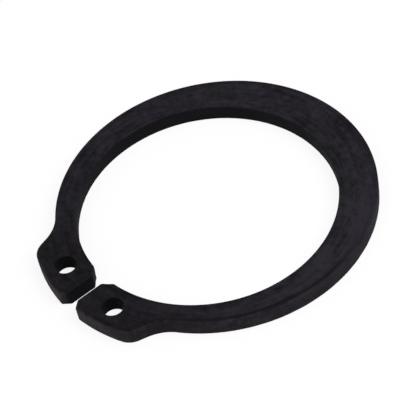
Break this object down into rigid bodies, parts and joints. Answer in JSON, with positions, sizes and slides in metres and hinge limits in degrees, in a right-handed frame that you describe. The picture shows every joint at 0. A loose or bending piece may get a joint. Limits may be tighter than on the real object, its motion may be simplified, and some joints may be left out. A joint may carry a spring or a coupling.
{
  "type": "retaining ring",
  "caption": "Open external retaining ring of black phosphated spring steel, widest opposite the gap, with a pierced plier lug on each side of the gap.",
  "frame": {"origin": "on the shaft axis, halfway through the thickness of the ring", "axes": "+Z along the shaft axis, the gap between the lugs points towards -Y, the wide band lies towards +Y"},
  "size_m": [0.0364, 0.0393, 0.002],
  "materials": {
    "phosphated_steel": "matte"
  },
  "bodies": {
    "root": {"retaining_ring": "phosphated_steel"}
  },
  "joints": []
}
